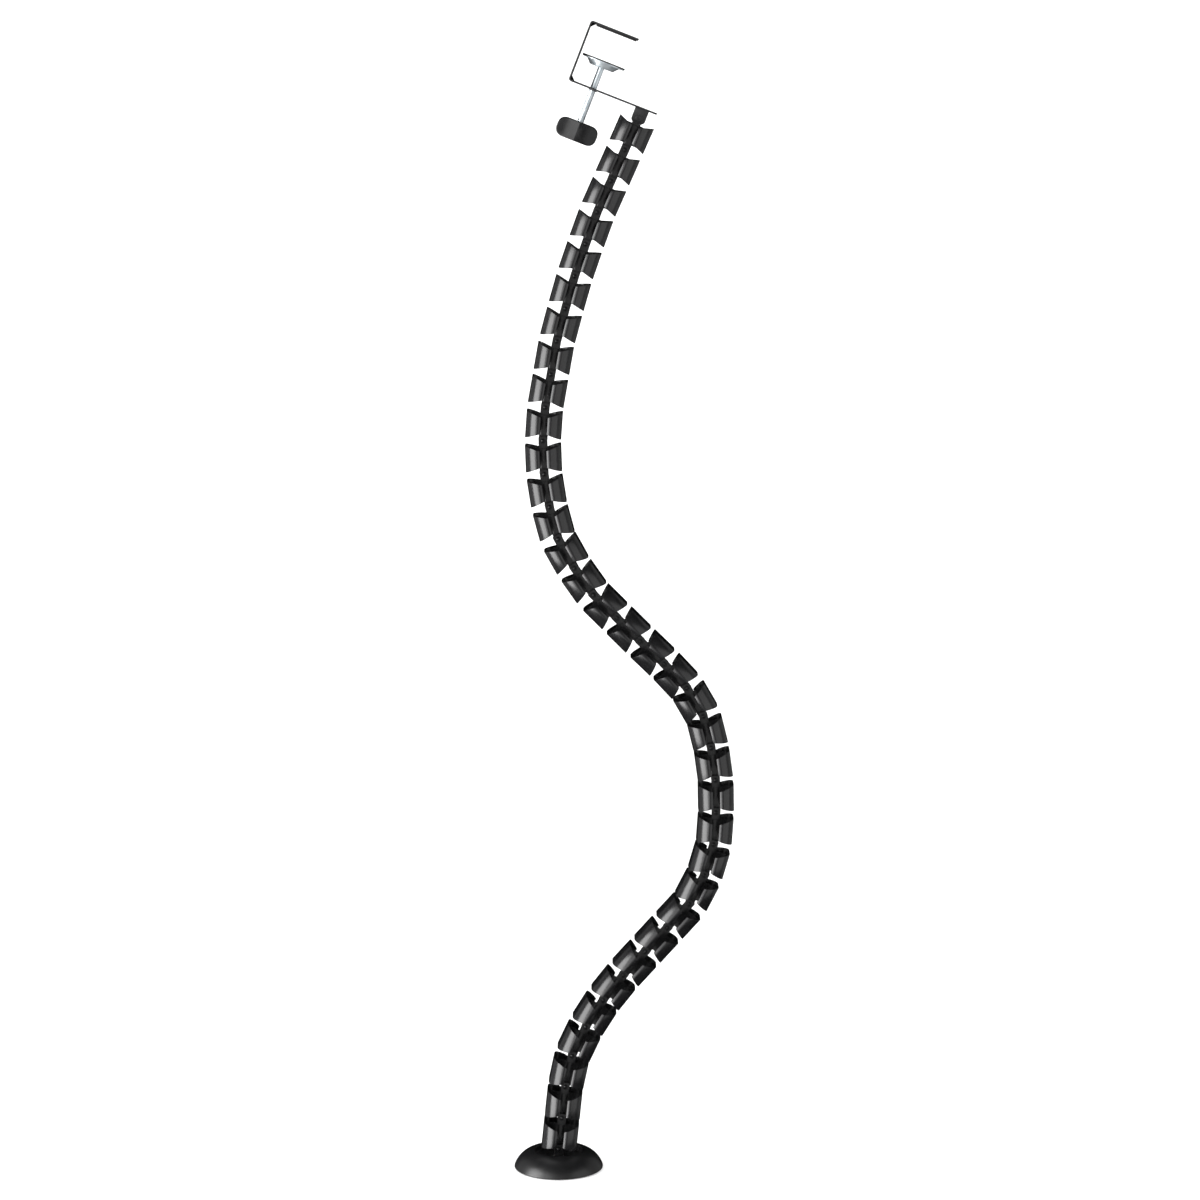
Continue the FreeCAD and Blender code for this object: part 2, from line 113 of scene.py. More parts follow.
def makePiece(name, mesh, material, body, replaced):
    piece = bpy.data.objects.new(name, mesh)
    bpy.context.scene.collection.objects.link(piece)
    mesh.materials.append(material)
    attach(piece, body)
    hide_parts(*replaced)


def turnsBetween(start, end, count):
    # count angles from start to end, which are in degrees, in radians
    return np.linspace(start, end, count) * np.pi / 180


def wholeTurn(count):
    return np.arange(count) * 2 * np.pi / count


def rectangle(left, right, low, high):
    # its corners, counter-clockwise
    return [(left, low), (right, low), (right, high), (left, high)]


def roundCurve(across, up, radius, start, end, steps):
    # points at (across, up) + radius * (cos a, sin a), from one angle to the other
    angles = turnsBetween(start, end, steps)
    return np.column_stack([across + radius * np.cos(angles), up + radius * np.sin(angles)])


def roundCorners(corners, radius, steps=6):
    # each corner of a closed outline becomes a quadratic curve that starts and ends radius away from it
    corners = np.asarray(corners, float)
    radius = np.broadcast_to(np.asarray(radius, float), len(corners))[:, None]
    before = np.roll(corners, 1, 0) - corners
    after = np.roll(corners, -1, 0) - corners
    start = corners + before / np.linalg.norm(before, axis=1)[:, None] * radius
    end = corners + after / np.linalg.norm(after, axis=1)[:, None] * radius
    t = np.linspace(0, 1, steps + 1)[None, :, None]
    curve = start[:, None] * (1 - t) ** 2 + 2 * corners[:, None] * t * (1 - t) + end[:, None] * t ** 2
    return curve.reshape(-1, 2)


def lengthsAlong(line):
    return np.concatenate([[0], np.cumsum(np.linalg.norm(np.diff(line, axis=0), axis=1))])


def pointsAt(line, lengths, wanted):
    # the points of a line at the wanted lengths along it
    return np.column_stack([np.interp(wanted, lengths, line[:, axis]) for axis in (0, 1)])


def evenSteps(outline, count):
    # a closed outline cut into equal steps
    closed = np.concatenate([outline, outline[:1]])
    lengths = lengthsAlong(closed)
    return pointsAt(closed, lengths, np.arange(count) * lengths[-1] / count)


def inset(outline, distance):
    # each point of a closed outline moves inwards along the bisector of its two edges, by distance
    # over the cosine of half the turn, so that every edge stays parallel to itself
    ahead = np.roll(outline, -1, 0) - outline
    ahead /= np.linalg.norm(ahead, axis=1)[:, None]
    behind = np.roll(ahead, 1, 0)
    normal = np.stack([-ahead[:, 1] - behind[:, 1], ahead[:, 0] + behind[:, 0]], 1)
    normal /= np.maximum((normal ** 2).sum(1)[:, None] / 2, 1e-9)
    return outline + normal * distance


def slab(outline, low, high, rounding):
    # a counter-clockwise outline (x, y) lifted from low to high, whose two rims turn in a quarter circle:
    # at angle a the rim is rounding * (1 - cos a) inside the outline and rounding * (1 - sin a) from the end;
    # one more row lies on each flat, which keeps the flat's shading level
    angles = turnsBetween(90, 0, rimSteps + 1)
    rim = np.concatenate([[rounding + flatRow], rounding * (1 - np.cos(angles))])
    drop = np.concatenate([[0], rounding * (1 - np.sin(angles))])
    insets = np.concatenate([rim, rim[::-1]])
    heights = np.concatenate([low + drop, high - drop[::-1]])
    rows = [np.column_stack([inset(outline, offset), np.full(len(outline), height)])
            for offset, height in zip(insets, heights)]
    return surface(np.array(rows), wrapColumns=True, caps=True)


def turned(profile, segments):
    # a profile of (radius, height) turned about Z: x = r cos t, y = r sin t
    angles = wholeTurn(segments)
    radius, height = profile[:, 0, None], profile[:, 1, None]
    grid = np.stack([radius * np.cos(angles), radius * np.sin(angles), height + 0 * angles], -1)
    return surface(grid, wrapColumns=True)


def discProfile(radius, low, high, lowRound, highRound):
    # half the section of a disc with two rounded rims
    return np.concatenate([
        [(0, low)], roundCurve(radius - lowRound, low + lowRound, lowRound, -90, 0, 4),
        roundCurve(radius - highRound, high - highRound, highRound, 0, 90, 4), [(0, high)],
    ])


def moved(part, order=(0, 1, 2), flip=(1, 1, 1), by=(0, 0, 0)):
    # a surface with its axes put in another order, mirrored, and then shifted
    return {**part, "points": part["points"][:, list(order)] * np.array(flip) + np.array(by)}


def facingFront(part, by=(0, 0, 0)):
    # a surface drawn lying down is stood up, so that its top faces the camera's side: y goes to z, z to -y
    return moved(part, (0, 2, 1), (1, -1, 1), by)


def uprightSlab(outline, front, rear, rounding):
    # an outline drawn in the plane of the chain, (x, z), given its thickness from front to rear
    return facingFront(slab(np.asarray(outline, float), -rear, -front, rounding))


def bentStrip(line, ahead, half, front, rear, edge, corner=0.55):
    # a flat bar's section, rounded at its edges, is carried along a line in the plane of the chain: a point
    # of it n to the line's left and y deep goes to line + left * n; at both ends it shrinks as in a slab;
    # its front and rear edges may change along the line
    front, rear = (np.broadcast_to(np.asarray(side, float), len(line)) for side in (front, rear))
    section = [(-half, rear[0]), (-half, front[0]), (half, front[0]), (half, rear[0])]
    section = roundCorners(section, corner, rimSteps)
    atFront = section[:, 1] < (front[0] + rear[0]) / 2
    angles = turnsBetween(90, 0, rimSteps + 1)
    shrink = np.concatenate([[edge + flatRow], edge * (1 - np.cos(angles))])
    along = np.concatenate([[0], edge * (1 - np.sin(angles))])
    start, between = np.zeros(rimSteps + 2, int), np.arange(1, len(line) - 1)
    ends = np.concatenate([start, between, start + len(line) - 1])
    inwards = np.concatenate([along, 0.0 * between, -along[::-1]])
    shrink = np.concatenate([shrink, 0.0 * between, shrink[::-1]])
    line, ahead = line[ends] + ahead[ends] * inwards[:, None], ahead[ends]
    left = np.column_stack([-ahead[:, 1], ahead[:, 0]])
    shift = np.where(atFront, (front - front[0])[ends, None], (rear - rear[0])[ends, None])
    sections = np.array([inset(section + np.column_stack([0 * move, move]), offset)
                         for offset, move in zip(shrink, shift)])
    flat = line[:, None] + left[:, None] * sections[..., :1]
    return surface(np.stack([flat[..., 0], sections[..., 1], flat[..., 1]], -1), wrapColumns=True, caps=True)


def inMetres(surfaces):
    return [{**part, "points": part["points"] / 1000} for part in surfaces]


# Materials.


def colour(hexValue):
    # sRGB hex to linear light
    channels = np.array([int(hexValue[start:start + 2], 16) for start in (0, 2, 4)]) / 255
    linear = np.where(channels <= 0.04045, channels / 12.92, ((channels + 0.055) / 1.055) ** 2.4)
    return (*linear.tolist(), 1.0)


def addNode(material, kind, inputs, links):
    # one node with its socket values, and links given as socket: (node, output)
    node = material.node_tree.nodes.new(kind)
    for name, value in inputs.items():
        node.inputs[name].default_value = value
    for name, (source, output) in links.items():
        connect(material, source, output, node, name)
    return node


def connect(material, source, output, target, socket):
    material.node_tree.links.new(source.outputs[output], target.inputs[socket])


def startMaterial(name, shaderInputs):
    material = bpy.data.materials.new(name)
    material.use_nodes = True
    shader = material.node_tree.nodes["Principled BSDF"]
    for socket, value in shaderInputs.items():
        shader.inputs[socket].default_value = value
    return material, shader


def perMetre(sizeMm):
    # a texture's scale from the real size of its grain
    return 1000 / sizeMm


def noiseOf(material, grainMm, detail):
    # a noise of the given grain that stays with the piece
    place = addNode(material, "ShaderNodeTexCoord", {}, {})
    return addNode(material, "ShaderNodeTexNoise", {"Scale": perMetre(grainMm), "Detail": detail},
                   {"Vector": (place, "Object")})


def toneFrom(material, noise, shader, dark, light, smooth, rough):
    # colour and roughness both follow one noise, from its low to its high values
    ramp = addNode(material, "ShaderNodeValToRGB", {}, {"Fac": (noise, "Fac")})
    for element, position, shade in zip(ramp.color_ramp.elements, (0.35, 0.65), (dark, light)):
        element.position = position
        element.color = colour(shade)
    connect(material, ramp, "Color", shader, "Base Color")
    spread = addNode(material, "ShaderNodeMapRange", {"To Min": smooth, "To Max": rough},
                     {"Value": (noise, "Fac")})
    connect(material, spread, "Result", shader, "Roughness")


def bumpFrom(material, texture, output, shader, depthMm, strength):
    bump = addNode(material, "ShaderNodeBump", {"Distance": depthMm / 1000, "Strength": strength},
                   {"Height": (texture, output)})
    connect(material, bump, "Normal", shader, "Normal")


def mouldedPlastic(name, dark="0f0f10", light="141415", smooth=0.2, rough=0.27):
    # injection-moulded ABS from a polished tool: nearly black, with a broad satin sheen and a faint ripple
    grain = {"tone": 9.0, "ripple": 2.2, "depth": 0.02}
    material, shader = startMaterial(name, {"IOR": 1.53, "Metallic": 0.0})
    toneFrom(material, noiseOf(material, grain["tone"], 3.0), shader, dark, light, smooth, rough)
    bumpFrom(material, noiseOf(material, grain["ripple"], 2.0), "Fac", shader, grain["depth"], 0.25)
    return material


def powderCoat(name):
    # powder-coated steel: black, satin, with the fine orange peel of a baked coat
    grain = {"tone": 6.0, "peel": 0.9, "depth": 0.03}
    material, shader = startMaterial(name, {"IOR": 1.5, "Metallic": 0.0})
    toneFrom(material, noiseOf(material, grain["tone"], 3.0), shader, "1c1c1d", "262627", 0.36, 0.48)
    bumpFrom(material, noiseOf(material, grain["peel"], 1.0), "Fac", shader, grain["depth"], 0.4)
    return material


def zincPlate(name):
    # bright zinc plate on turned steel: a cool silver gloss over the milky bloom of its passive film
    grain = {"cloud": 7.0, "tooling": 0.5, "depth": 0.01}
    material, shader = startMaterial(name, {"Metallic": 0.82})
    toneFrom(material, noiseOf(material, grain["cloud"], 3.0), shader, "c9d3d9", "e9f0f4", 0.24, 0.34)
    bumpFrom(material, noiseOf(material, grain["tooling"], 1.0), "Fac", shader, grain["depth"], 0.2)
    return material


def plainSteel(name):
    # cut steel plate, oiled: a grey metal with a soft grain, which stands out a little too
    material, shader = startMaterial(name, {"Metallic": 1.0})
    grain = noiseOf(material, 3.0, 3.0)
    toneFrom(material, grain, shader, "8f9295", "a9acae", 0.38, 0.5)
    bumpFrom(material, grain, "Fac", shader, 0.02, 0.2)
    return material


def softSheet(name, dark, light, cellMm, depthMm):
    # closed-cell foam or rubber sheet: matt black, pitted by its cells
    material, shader = startMaterial(name, {"IOR": 1.5, "Metallic": 0.0})
    toneFrom(material, noiseOf(material, cellMm * 3, 3.0), shader, dark, light, 0.72, 0.88)
    place = addNode(material, "ShaderNodeTexCoord", {}, {})
    cells = addNode(material, "ShaderNodeTexVoronoi", {"Scale": perMetre(cellMm)},
                    {"Vector": (place, "Object")})
    bumpFrom(material, cells, "Distance", shader, depthMm, 0.5)
    return material


linkPlastic = mouldedPlastic("moulded ABS")
basePlastic = mouldedPlastic("moulded ABS satin", "0f0f10", "131314", 0.33, 0.36)
coatedSteel = powderCoat("powder-coated steel")
brightSteel = zincPlate("bright zinc plate")
cutSteel = plainSteel("cut steel plate")
footRubber = softSheet("moulded rubber", "0f0f0f", "181818", 1.2, 0.05)
jawFoam = softSheet("foam sheet", "0c0c0c", "171717", 0.8, 0.12)
print("materials ready")

# The links.

link = {
    "pitch": 36.0, "half": 19.5, "flat": 9.0, "wall": 1.8, "margin": 3.4, "rim": 0.32,
    "riseLow": 7.0, "riseHigh": 6.7,          # how far the V of each end climbs at the middle
    "slotHalf": 3.5, "lipWidth": 3.2, "lipDepth": 2.8, "fold": 0.9,
    "plate": 2.4, "plateMargin": 6.7, "plateCorner": 0.7, "plateEdge": 0.25,
    "columnHalf": 3.7, "columnFront": 2.0, "columnRear": 2.4, "columnClear": 1.2,
    "columnEdge": 0.4, "columnCorner": 1.0,
    "tabHalf": 4.85, "tabCorner": 2.3, "tabFoot": 1.0, "tabEdge": 0.35, "tabThick": 3.2, "tabGap": 0.3,
    "shoulder": 8.0, "tongueRound": 4.753, "tongueCorner": 0.6, "tongueEdge": 0.3,
    "recess": 2.75, "recessDepth": 0.9, "recessBevel": 0.25, "recessRow": 0.1,
    "ball": 2.15, "ballNeck": 1.72, "ballRise": 1.333,
}


def lowEnd(x):
    # the lower V: margin at the outside, margin + riseLow over the pivot
    return link["margin"] + link["riseLow"] * (1 - np.abs(x) / link["half"])


def highEnd(x):
    return link["pitch"] - link["margin"] - link["riseHigh"] * (1 - np.abs(x) / link["half"])


def armPath(side):
    # the middle line of one arm seen from above: lip, quarter circle, flat side, quarter circle, lip;
    # the folds are eased by averaging the line over a short window, then it is cut into equal steps
    fineCount, count = 900, 78
    radius = link["half"] - link["wall"] / 2
    startTurn = math.asin((link["slotHalf"] + link["lipWidth"]) / radius)
    turns = np.linspace(startTurn, np.pi / 2, 60)
    quarter = np.column_stack([radius * np.sin(turns), -link["flat"] - radius * np.cos(turns)])
    tip = np.array([[link["slotHalf"], -link["flat"] - link["half"] + link["lipDepth"] + link["wall"] / 2]])
    line = np.concatenate([tip, quarter, (quarter * [1, -1])[::-1], tip * [1, -1]])

    def openSteps(points, number):
        lengths = lengthsAlong(points)
        return pointsAt(points, lengths, np.linspace(0, lengths[-1], number)), lengths[-1]

    fine, length = openSteps(line, fineCount)
    window = max(int(link["fold"] / length * fineCount), 3)
    padded = np.concatenate([2 * fine[0] - fine[window:0:-1], fine, 2 * fine[-1] - fine[-2:-window - 2:-1]])
    kernel = np.ones(window) / window
    eased = np.column_stack([np.convolve(padded[:, axis], kernel, "same") for axis in (0, 1)])
    path, length = openSteps(eased[window:-window], count)
    return path * [side, 1]


def arm(side):
    # the wall's section, a strip with round rims, is carried along the middle line; its ends lie on the Vs
    path = armPath(side)
    ahead = np.gradient(path, axis=0)
    ahead /= np.linalg.norm(ahead, axis=1)[:, None]
    normal = np.column_stack([ahead[:, 1], -ahead[:, 0]])
    rim, half = link["rim"], link["wall"] / 2
    turns = turnsBetween(0, 90, rimSteps + 1)
    outwards = half - rim + rim * np.cos(turns)
    lift = rim - rim * np.sin(turns)
    across = np.concatenate([outwards, -outwards[::-1], -outwards, outwards[::-1]])
    away = np.concatenate([lift, lift[::-1], lift, lift[::-1]])
    high = np.repeat([0.0, 1.0], 2 * len(turns))
    # both tips are rounded: over the last half wall the section narrows as a half circle does
    along = lengthsAlong(path)
    toTip = np.minimum(along, along[-1] - along)
    narrow = np.sqrt(np.clip(1 - (1 - np.clip(toTip / half, 0, 1)) ** 2, 0, 1))
    spot = path[:, None, :] + normal[:, None, :] * (across[None, :] * narrow[:, None])[..., None]
    height = np.where(high > 0, highEnd(spot[..., 0]) - away, lowEnd(spot[..., 0]) + away)
    return surface(np.concatenate([spot, height[..., None]], -1), wrapColumns=True)


def tabWithRecess(outline, front, rear, recessAt):
    # the tab's face has a round recess for the stud's head, at height recessAt: rows run from the rear face
    # round the rim to the front face, in to the recess's circle, and down to its floor
    outline = evenSteps(outline, 88)
    rows = slab(outline, -rear, -front, link["tabEdge"])["points"].reshape(-1, len(outline), 3)
    centre = np.array([0, recessAt])
    direction = rows[-1, :, :2] - centre
    direction /= np.linalg.norm(direction, axis=1)[:, None]
    recess, bevel, floor, row = (link[name] for name in ("recess", "recessBevel", "recessDepth", "recessRow"))
    depths = [(recess + bevel + row, 0), (recess + bevel, 0), (recess, bevel), (recess, floor),
              (recess - row, floor)]
    rings = [np.column_stack([centre + direction * radius, np.full(len(outline), -front - depth)])
             for radius, depth in depths]
    return facingFront(surface(np.concatenate([rows, np.array(rings)]), wrapColumns=True, caps=True))


def studHead(front):
    # the link's snap stud, seen in the recess of the tab below it: a dome that stands a little proud
    ball, neck, sunk = link["ball"], link["ballNeck"], link["recessDepth"] / 2
    turns = turnsBetween(0, 90, 9)
    dome = np.column_stack([ball * np.cos(turns), sunk + link["ballRise"] * np.sin(turns)])
    profile = np.concatenate([[(0, 0), (neck, 0), (neck, sunk)], dome])
    return facingFront(turned(profile, 32), (0, front + link["recessDepth"], 0))


def linkSurfaces():
    # one link, with its lower pivot at the origin and its upper pivot one pitch above
    half, tabHalf, pitch = link["half"] - link["wall"] / 2, link["tabHalf"], link["pitch"]
    plate = rectangle(-half, half, link["plateMargin"], pitch - link["plateMargin"])
    columnLow = tabHalf + link["columnClear"]
    column = np.array([(0, columnLow), (0, pitch - columnLow)])
    upwards = np.array([(0.0, 1.0), (0.0, 1.0)])
    tab = roundCorners(rectangle(-tabHalf, tabHalf, pitch - link["shoulder"], pitch + tabHalf),
                       [link["tabFoot"]] * 2 + [link["tabCorner"]] * 2)
    tongue = roundCorners(rectangle(-tabHalf, tabHalf, -tabHalf, link["shoulder"]),
                          [link["tongueRound"]] * 2 + [link["tongueCorner"]] * 2, 10)
    front = -(link["tabGap"] + link["tabThick"])
    return inMetres([
        arm(1), arm(-1),
        uprightSlab(roundCorners(plate, link["plateCorner"], 3), -link["plate"] / 2, link["plate"] / 2,
                    link["plateEdge"]),
        bentStrip(column, upwards, link["columnHalf"], -link["columnFront"], link["columnRear"],
                  link["columnEdge"], link["columnCorner"]),
        tabWithRecess(tab, front, -link["tabGap"], pitch),
        uprightSlab(tongue, 0.0, link["tabThick"], link["tongueEdge"]),
        studHead(front),
    ])


def placeInChain(low, high):
    # origin on the lower pivot, Z towards the upper one, Y along the hinge
    up = (high - low).normalized()
    hinge = Vector((0, 1, 0))
    place = Matrix((hinge.cross(up), hinge, up)).transposed().to_4x4()
    place.translation = low
    return place


pivotNames = [f"pivot_{number:02d}" for number in range(1, linkCount + 1)] + ["clamp_pivot"]
pivots = [Vector(joints[name]["pos_m"]) for name in pivotNames]
linkForm = makeMesh("link form", linkSurfaces())
for number in range(1, linkCount + 1):
    mesh = linkForm.copy()
    mesh.name = f"link {number:02d}"
    mesh.transform(placeInChain(pivots[number - 1], pivots[number]))
    makePiece(f"moulding_{number:02d}", mesh, linkPlastic, f"spine_{number:02d}", [f"link_{number:02d}"])
print("links ready, triangles each:", sum(len(face.vertices) - 2 for face in linkForm.polygons))

# The base.

base = {
    "radius": 49.0, "wall": 2.4, "edgeLow": 1.0, "edgeHigh": 2.5, "edgeRound": 0.6,
    "dome": 27.4, "domeFoot": 18.6,
    "lip": 1.2, "well": 26.2, "wellFloor": 14.0, "wellRound": 1.0,
    "footRadius": 46.4, "footThick": 2.0, "footLowRound": 0.5, "footHighRound": 0.3,
    "anchorHalf": 6.7, "anchorDepth": 4.5, "anchorFoot": 2.4, "anchorSlope": 2.2, "anchorSunk": 0.7,
    "anchorEdge": 0.5, "anchorCorners": (0.3, 0.3, 0.9, 0.9), "tabStart": 1.0, "tabFoot": 0.4,
}


def makeDome():
    # the dome is round about a circle in the base: its distance from the axis and its height
    dome, foot = base["dome"], math.radians(base["domeFoot"])
    across = base["radius"] - dome * math.cos(foot)
    level = base["edgeHigh"] - dome * math.sin(foot)
    lipAt = base["well"] + base["lip"]
    turnAt = math.acos((lipAt - across) / dome)
    crest = level + dome * math.sin(turnAt)
    innerWall = base["well"] + base["wall"]
    lining = dome - base["wall"]
    innerTurn = math.acos((innerWall - across) / lining)
    floor, ceiling = base["wellFloor"], base["wellFloor"] - base["wall"]
    profile = np.concatenate([
        [(0, floor)],
        roundCurve(base["well"] - base["wellRound"], floor + base["wellRound"], base["wellRound"], -90, 0, 5),
        roundCurve(lipAt, crest - base["lip"], base["lip"], 180, 90, 8),
        roundCurve(across, level, dome, math.degrees(turnAt), base["domeFoot"], 30),
        roundCurve(base["radius"] - base["edgeRound"], base["edgeLow"] + base["edgeRound"], base["edgeRound"],
                   0, -90, 5),
        [(base["radius"] - base["wall"], base["edgeLow"])],
        roundCurve(across, level, lining, base["domeFoot"], math.degrees(innerTurn), 16),
        [(innerWall, ceiling), (0, ceiling)],
    ])
    mesh = makeMesh("base dome", inMetres([turned(profile, 128)]))
    makePiece("base_dome", mesh, basePlastic, "base", ["base_cover"])


def makeFootRing():
    foot = discProfile(base["footRadius"], 0, base["footThick"], base["footLowRound"], base["footHighRound"])
    mesh = makeMesh("foot ring", inMetres([turned(foot, 96)]))
    makePiece("foot_ring", mesh, footRubber, "base", ["base_foot"])


def makeBaseTab():
    # the tab that the lowest link snaps onto, on a foot that slopes down to its ends
    half, slope, low = base["anchorHalf"], base["anchorSlope"], base["wellFloor"]
    bottom, top = low - base["anchorSunk"], low + base["anchorFoot"]
    foot = roundCorners([(-half, bottom), (half, bottom), (half - slope, top), (-half + slope, top)],
                        base["anchorCorners"])
    pivot = joints["pivot_01"]["pos_m"][2] * 1000
    tabHalf = link["tabHalf"]
    tab = roundCorners(rectangle(-tabHalf, tabHalf, low + base["tabStart"], pivot + tabHalf),
                       [base["tabFoot"]] * 2 + [link["tabCorner"]] * 2)
    front = -(link["tabGap"] + link["tabThick"])
    middle = (front - link["tabGap"]) / 2
    depth = base["anchorDepth"]
    parts = [tabWithRecess(tab, front, -link["tabGap"], pivot),
             uprightSlab(foot, middle - depth, middle + depth, base["anchorEdge"])]
    makePiece("base_tab", makeMesh("base tab", inMetres(parts)), basePlastic, "base", ["base_anchor"])


makeDome()
makeFootRing()
makeBaseTab()
print("base ready")

# The clamp, in its own frame: origin on the uppermost pivot, Z along the clamping screw.

clamp = {
    "strip": 2.0, "bend": 1.2, "width": 40.0, "height": 67.5, "plate": 100.5, "jaw": 54.3,
    "corner": -84.2, "drop": 10.3, "rodAt": -56.2, "edge": 0.35,
    "earHalf": 7.7, "earBelow": 5.3, "earRound": 4.4, "earSunk": 0.6, "relief": 0.03, "reliefEnd": 0.01,
    "gusset": 4.5, "gussetHalf": 3.0, "gussetCorner": 0.5, "gussetEdge": 0.8,
    "collar": 4.7, "collarHeight": 0.9, "collarEdge": 0.5, "collarSunk": 0.2, "bore": 3.55,
    "foam": 1.4, "foamMargin": 1.8, "foamGap": 0.5, "foamCorner": 1.0, "foamEdge": 0.35,
    "rivet": 4.0, "rivetThick": 1.5, "rivetRound": 0.9, "rivetSide": 0.3, "rivetSunk": 0.1,
    "dimple": 1.6, "dimpleRound": 0.3, "dimpleFoot": 0.9, "dimpleSide": 0.8, "dimpleFloor": 0.75,
    "tail": 2.8, "tailThick": 0.85, "tailSide": 0.5, "tailSlope": 0.5, "tailSunk": 0.15,
    "rod": 3.5, "thread": 1.25, "threadDepth": 0.1, "rodTop": 39.4, "rodLow": -42.5,
    "chamfer": 0.9, "chamferHeight": 1.2,
    "dishLow": 35.1, "dishNeck": 14.0, "neckRound": 1.5, "dishBrow": 17.5, "browAway": 1.0, "browRound": 0.9,
    "cone": 5.5, "socket": 4.5, "socketGap": 0.1, "flange": 23.5, "flangeThick": 1.2, "flangeEdge": 0.4,
    "rubber": 24.0, "rubberThick": 1.3, "rubberEdge": 0.35,
    "knobHalf": 22.5, "knobTop": -25.7, "knobHeight": 21.4, "knobCorner": 10.0, "knobRim": 1.1,
    "knobMiddle": 8.0, "knobEnd": 4.0, "knobHollow": 2.2,
}
clampFront = -(2 * link["tabGap"] + link["tabThick"] + clamp["strip"])
clampRear = clampFront + clamp["width"]
clampMiddle = (clampFront + clampRear) / 2
plateLow, jawHigh = clamp["drop"], clamp["drop"] + clamp["height"]
inside = clamp["corner"] + clamp["strip"]
outerBend = clamp["bend"] + clamp["strip"]
flangeLow = clamp["dishLow"] + clamp["cone"]
flangeTop = flangeLow + clamp["flangeThick"]
toRod = np.array([clamp["rodAt"], clampMiddle, 0])
clampPlace = placeInChain(pivots[-1], pivots[-1] - Vector(joints["pad_slide"]["axis"]))


def makeClampPiece(name, parts, material, body, replaced, sharpAngle=38):
    mesh = makeMesh(name.replace("_", " "), inMetres(parts), sharpAngle)
    mesh.transform(clampPlace)
    makePiece(name, mesh, material, body, replaced)


def bracketStrip():
    # the middle line runs along the lower plate, round both bends and out along the jaw; where a bend stands
    # at angle a, the line is its centre + radius (cos a, sin a) and goes on towards (sin a, -cos a)
    half, bend = clamp["strip"] / 2, clamp["bend"]
    bends = turnsBetween([-90, 180], [-180, 90], 9).T[..., None]
    centres = np.array([(inside + bend, plateLow + outerBend), (inside + bend, jawHigh - outerBend)])
    bent = centres[:, None] + (bend + half) * np.concatenate([np.cos(bends), np.sin(bends)], -1)
    turning = np.concatenate([np.sin(bends), -np.cos(bends)], -1)
    # beside the ear the plate is set back by the ear's bend, between two fine relief cuts
    cut = clamp["earHalf"] + clamp["relief"]
    across = np.array([cut + clamp["reliefEnd"], cut, -cut, -cut - clamp["reliefEnd"]])
    edgeLine = np.column_stack([across, np.full(4, plateLow + half)])
    line = np.concatenate([[(clamp["corner"] + clamp["plate"], plateLow + half)], edgeLine, *bent,
                           [(clamp["corner"] + clamp["jaw"], jawHigh - half)]])
    ahead = np.concatenate([np.tile((-1.0, 0.0), (5, 1)), *turning, [(1.0, 0.0)]])
    setBack = np.zeros(len(line))
    setBack[2:4] = outerBend
    return bentStrip(line, ahead, half, clampFront + setBack, clampRear, clamp["edge"])


def bracketEar():
    # the ear hangs from the plate's front edge: its middle line climbs, turns in a quarter circle and ends in
    # the plate; near its foot each side is a quarter circle in from the full width
    count = 9
    half, earRound = clamp["strip"] / 2, clamp["earRound"]
    climb = earRound * (1 - np.cos(turnsBetween(0, 90, count)))
    foot = np.column_stack([np.full(count, clampFront + half), climb - clamp["earBelow"]])
    turn = turnsBetween(180, 90, count)
    bendAt = np.array([clampFront + outerBend, plateLow + clamp["strip"] - outerBend])
    bow = bendAt + (clamp["bend"] + half) * np.column_stack([np.cos(turn), np.sin(turn)])
    line = np.concatenate([foot, bow, [(clampFront + outerBend + clamp["earSunk"], plateLow + half)]])
    bowAhead = np.column_stack([np.sin(turn), -np.cos(turn)])
    ahead = np.concatenate([np.tile((0.0, 1.0), (count, 1)), bowAhead, [(1.0, 0.0)]])
    wide = np.full(len(line), clamp["earHalf"])
    wide[:count] -= earRound - np.sqrt(earRound ** 2 - (earRound - climb) ** 2)
    return moved(bentStrip(line, ahead, half, -wide, wide, clamp["edge"]), order=(1, 0, 2))


def bracketGusset(level, way):
    # pressed into the corner at that level, it rises from the plate (way 1) or hangs from the jaw (way -1)
    leg = clamp["gusset"]
    corners = np.array([(inside, level), (inside + leg, level), (inside, level + way * leg)])
    outline = roundCorners(corners[::way], clamp["gussetCorner"], 3)
    half = clamp["gussetHalf"]
    return uprightSlab(outline, clampMiddle - half, clampMiddle + half, clamp["gussetEdge"])


def threadCollar():
    bore, collar, edge = clamp["bore"], clamp["collar"], clamp["collarEdge"]
    low, high = plateLow - clamp["collarHeight"], plateLow + clamp["collarSunk"]
    profile = np.array([(bore, low), (collar - edge, low), (collar, low + edge),
                        (collar + clamp["collarSunk"], high), (bore, high), (bore, low)])
    return moved(turned(profile, 48), by=toRod)


def makeBracket():
    gussets = [bracketGusset(plateLow + clamp["strip"], 1), bracketGusset(jawHigh - clamp["strip"], -1)]
    parts = [bracketStrip(), bracketEar(), *gussets, threadCollar()]
    makeClampPiece("bracket_strip", parts, coatedSteel, "bracket", ["clamp_bracket"])


def makeJawSheet():
    margin, top = clamp["foamMargin"], jawHigh - clamp["strip"]
    start = inside + clamp["gusset"] + clamp["foamGap"]
    sheet = rectangle(start, clamp["corner"] + clamp["jaw"] - margin, clampFront + margin, clampRear - margin)
    sheet = roundCorners(sheet, clamp["foamCorner"], 4)
    parts = [slab(sheet, top - clamp["foam"], top, clamp["foamEdge"])]
    makeClampPiece("jaw_sheet", parts, jawFoam, "bracket", ["jaw_pad"])


